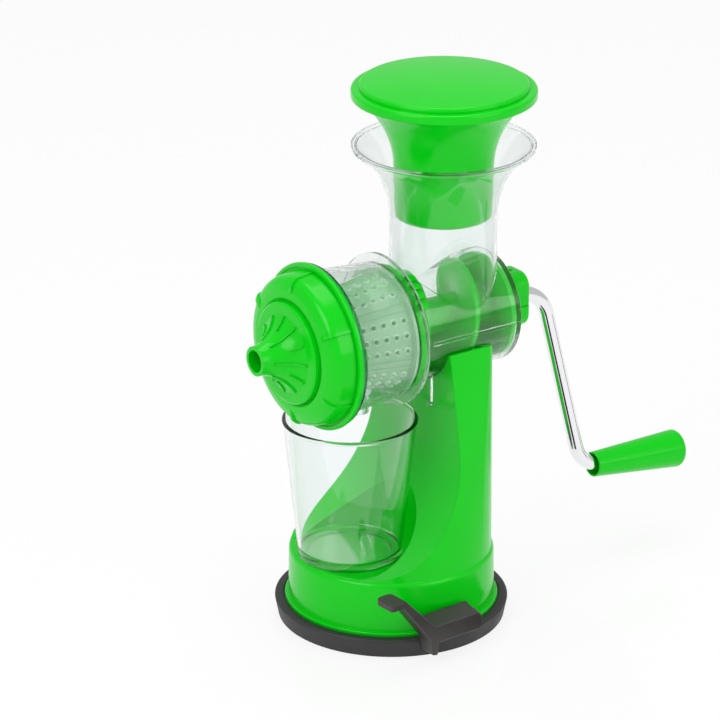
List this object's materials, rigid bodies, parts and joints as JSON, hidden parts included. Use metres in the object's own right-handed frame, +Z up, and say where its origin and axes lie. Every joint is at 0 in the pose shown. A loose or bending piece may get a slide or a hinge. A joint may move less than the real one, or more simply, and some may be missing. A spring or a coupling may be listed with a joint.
{
  "type": "hand-cranked juicer",
  "caption": "Hand-cranked fruit juicer: clear barrel and hopper on a green column with a suction foot, auger, strainer, pusher, bent crank and a juice glass.",
  "frame": {"origin": "on the table under the middle of the round suction foot", "axes": "+Z up, +Y along the pressing barrel towards the crank, -Y towards the pulp cap, +X on the side of the suction lever"},
  "size_m": [0.1596, 0.3356, 0.3522],
  "materials": {
    "green_plastic": "glossy moulded plastic",
    "clear_plastic": "clear moulded plastic",
    "glass_plastic": "clear tumbler",
    "strainer_plastic": "frosted plastic",
    "black_rubber": "matt rubber",
    "teal_rubber": "dark soft seal",
    "black_plastic": "satin moulded plastic",
    "white_plastic": "natural nylon",
    "chrome_steel": "bright chrome",
    "steel": "plain steel"
  },
  "bodies": {
    "base": {"suction_ring": "black_rubber", "suction_diaphragm": "black_rubber", "base_plate": "black_plastic", "base_screw_1": "steel", "base_screw_2": "steel", "base_screw_3": "steel", "base_screw_4": "steel", "base_shell": "green_plastic", "shaft_bush": "white_plastic", "juicer_chamber": "clear_plastic", "chamber_screw": "steel", "chamber_collar": "green_plastic", "strainer": "strainer_plastic", "cap_seal": "teal_rubber", "rear_bush": "white_plastic", "rear_seal": "black_rubber"},
    "lever": {"suction_lever": "black_plastic", "cam_shaft": "steel", "lift_cam": "white_plastic"},
    "stud": {"pull_stud": "white_plastic", "stud_washer": "steel"},
    "cap": {"front_cap": "green_plastic"},
    "drive": {"auger": "green_plastic", "auger_shaft": "steel", "hub_knob": "green_plastic", "shaft_pin": "steel", "rod_pin": "steel", "crank_rod": "chrome_steel", "grip_clip": "steel"},
    "grip": {"crank_grip": "green_plastic", "grip_plug": "green_plastic"},
    "pusher": {"pusher_body": "green_plastic", "pusher_lid": "green_plastic"},
    "glass": {"juice_glass": "glass_plastic"}
  },
  "joints": [
    {"name": "crank_turn", "type": "hinge", "parent": "base", "child": "drive", "pos_m": [0, 0, 0.195], "axis": [0, 1, 0], "continuous": true},
    {"name": "grip_spin", "type": "hinge", "parent": "drive", "child": "grip", "pos_m": [0, 0.16157, 0.06109], "axis": [0, 0.9974, -0.0715], "continuous": true},
    {"name": "pusher_slide", "type": "slide", "parent": "base", "child": "pusher", "axis": [0, 0, 1], "range_m": [-0.031, 0.06]},
    {"name": "glass_slide", "type": "slide", "parent": "base", "child": "glass", "axis": [0, -1, 0], "range_m": [0, 0.1]},
    {"name": "cap_turn", "type": "hinge", "parent": "base", "child": "cap", "pos_m": [0, 0, 0.195], "axis": [0, -1, 0], "range_deg": [0, 30]},
    {"name": "lever_turn", "type": "hinge", "parent": "base", "child": "lever", "pos_m": [0, 0, 0.0186], "axis": [-0.9976, -0.0698, 0], "range_deg": [0, 95]},
    {"name": "stud_lift", "type": "slide", "parent": "base", "child": "stud", "axis": [0, 0, -1], "range_m": [0, 0.003], "deforming": ["suction_diaphragm"]}
  ],
  "couplings": [
    {"joint": "stud_lift", "follows": "lever_turn", "m_per_rad": 0.0018}
  ]
}
